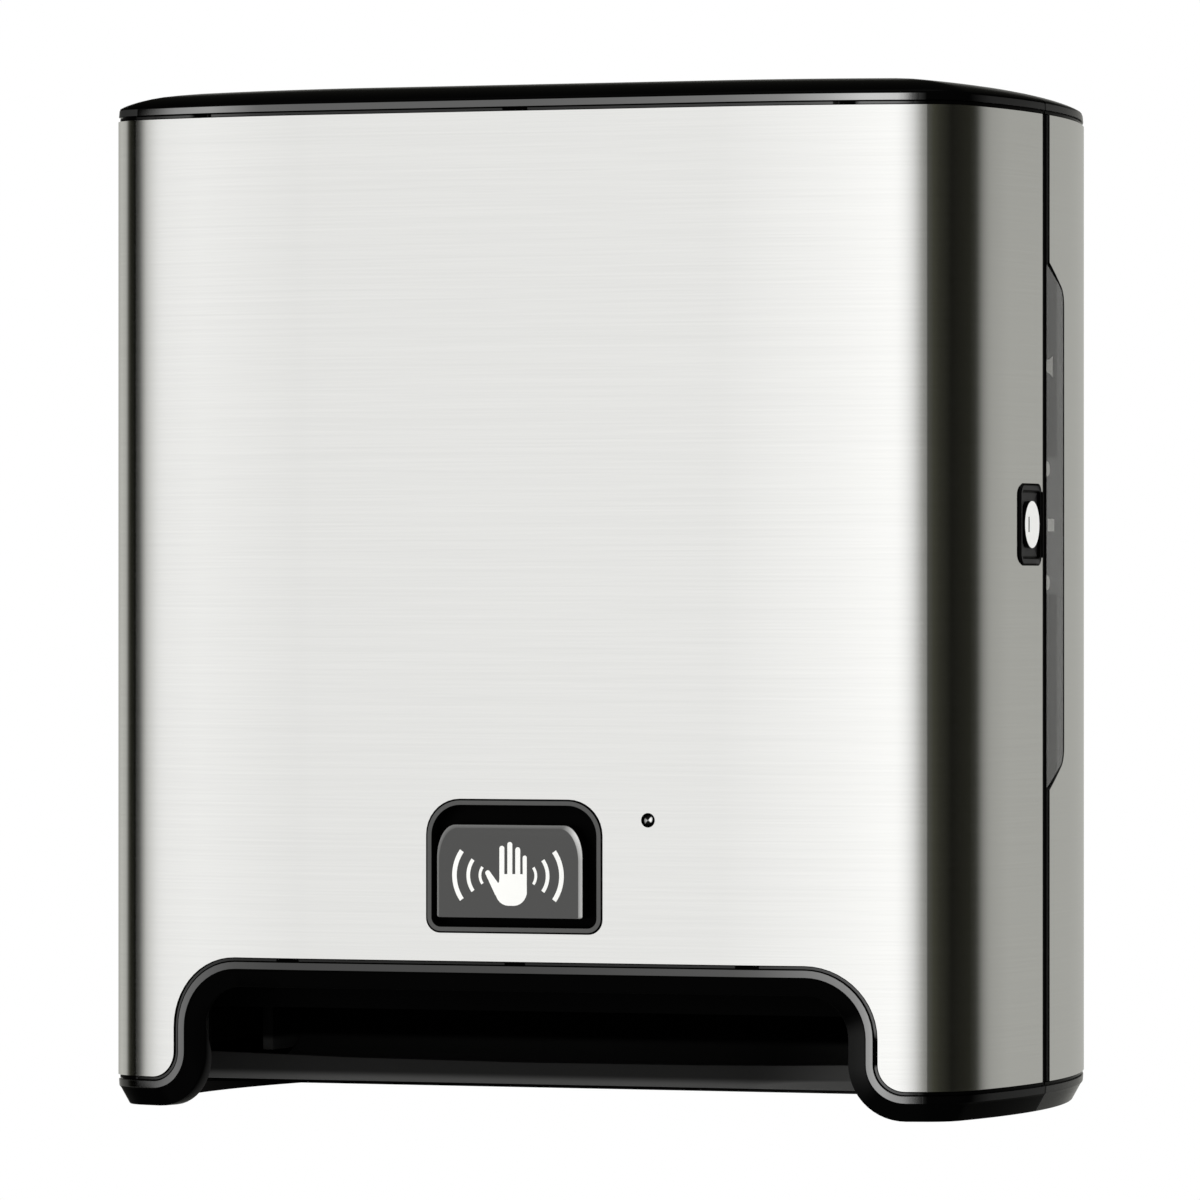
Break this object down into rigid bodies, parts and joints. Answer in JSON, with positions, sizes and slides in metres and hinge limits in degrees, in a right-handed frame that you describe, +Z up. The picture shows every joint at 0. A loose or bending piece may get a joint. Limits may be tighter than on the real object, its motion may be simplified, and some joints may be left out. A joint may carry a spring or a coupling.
{
  "type": "touch-free roll towel dispenser",
  "caption": "Wall-mounted roll towel dispenser with a brushed steel wrap, black end mouldings, hinged front cover, sensor pocket, side window, lock and motor feed.",
  "frame": {"origin": "middle of the rear wall's outer face, halfway up the case", "axes": "+X to the right of a person facing the dispenser, front towards -Y, +Z up"},
  "size_m": [0.345, 0.2068, 0.373],
  "materials": {
    "steel_wrap": "brushed along the width, satin",
    "black_shell": "moulded, fine matt",
    "black_trim": "moulded, half gloss",
    "smoked_window": "smoked, clear",
    "sensor_black": "moulded, half gloss",
    "pad_grey": "dark, infrared clear",
    "circuit_green": "lacquered board",
    "lamp_clear": "clear moulded",
    "lock_chrome": "polished",
    "lock_grey": "moulded, fine matt",
    "zinc": "zinc plated",
    "hinge_dark": "black coated",
    "towel_paper": "embossed towel",
    "core_card": "plain card",
    "arm_grey": "moulded, fine matt",
    "module_dark": "moulded, fine matt",
    "roller_rubber": "ground",
    "gear_white": "moulded acetal",
    "cell_wrap": "printed wrap, plain",
    "button_green": "moulded"
  },
  "bodies": {
    "base": {"rear_skin_left": "steel_wrap", "rear_skin_right": "steel_wrap", "rear_shell": "black_shell", "rear_bottom_trim": "black_trim", "rear_top_cap": "black_trim", "side_window": "smoked_window", "strike": "zinc", "seam_gasket": "roller_rubber", "hinge_leaf_rear": "hinge_dark", "hinge_pin": "zinc", "roll_arm_left": "arm_grey", "arm_bracket": "arm_grey", "arm_pin": "zinc", "side_plate_left": "module_dark", "side_plate_right": "module_dark", "front_panel": "module_dark", "paper_chute": "module_dark", "tear_bar": "zinc", "motor": "zinc", "battery_box": "module_dark", "battery_cells": "cell_wrap", "control_board": "circuit_green"},
    "cover": {"cover_skin": "steel_wrap", "cover_shell": "black_shell", "cover_bottom_trim": "black_trim", "cover_top_cap": "black_trim", "sensor_bezel": "sensor_black", "sensor_pad": "pad_grey", "sensor_board": "circuit_green", "lamp_lens": "lamp_clear", "lamp_collar": "black_shell", "lock_escutcheon": "lock_grey", "hinge_leaf_cover": "hinge_dark"},
    "lock": {"lock_cylinder": "lock_chrome", "lock_cam": "zinc"},
    "roll": {"paper_roll": "towel_paper", "roll_core": "core_card"},
    "arm": {"roll_arm_right": "arm_grey"},
    "drive": {"drive_roller": "arm_grey", "drive_sleeves": "roller_rubber", "drive_gear": "gear_white"},
    "pressure": {"pressure_shaft": "zinc", "pressure_sleeves": "roller_rubber"},
    "pinion": {"motor_pinion": "gear_white"},
    "battery_lid": {"battery_door": "arm_grey"},
    "button": {"feed_button": "button_green"}
  },
  "joints": [
    {"name": "cover_hinge", "type": "hinge", "parent": "base", "child": "cover", "pos_m": [-0.16846, -0.118, 0], "axis": [0, 0, -1], "range_deg": [0, 105]},
    {"name": "lock_turn", "type": "hinge", "parent": "cover", "child": "lock", "pos_m": [0.16, -0.1345, 0.0256], "axis": [-1, 0, 0], "range_deg": [0, 90]},
    {"name": "roll_spin", "type": "hinge", "parent": "base", "child": "roll", "pos_m": [0, -0.098, 0.07], "axis": [1, 0, 0], "continuous": true},
    {"name": "arm_swing", "type": "hinge", "parent": "base", "child": "arm", "pos_m": [0.113, -0.015, 0.07], "axis": [0, 0, 1], "range_deg": [0, 15], "stiffness_Nm_per_rad": 2},
    {"name": "drive_spin", "type": "hinge", "parent": "base", "child": "drive", "pos_m": [0, -0.12, -0.1], "axis": [1, 0, 0], "continuous": true},
    {"name": "pressure_spin", "type": "hinge", "parent": "base", "child": "pressure", "pos_m": [0, -0.1461, -0.104], "axis": [1, 0, 0], "continuous": true},
    {"name": "pinion_spin", "type": "hinge", "parent": "base", "child": "pinion", "pos_m": [0, -0.09333, -0.0846], "axis": [1, 0, 0], "continuous": true},
    {"name": "battery_door_hinge", "type": "hinge", "parent": "base", "child": "battery_lid", "pos_m": [0, -0.0757, -0.0605], "axis": [1, 0, 0], "range_deg": [0, 90]},
    {"name": "feed_press", "type": "slide", "parent": "base", "child": "button", "axis": [0, 1, 0], "range_m": [0, 0.003], "stiffness_N_per_m": 400}
  ],
  "couplings": [
    {"joint": "pressure_spin", "follows": "drive_spin", "ratio": -1.8889},
    {"joint": "pinion_spin", "follows": "drive_spin", "ratio": -3}
  ]
}
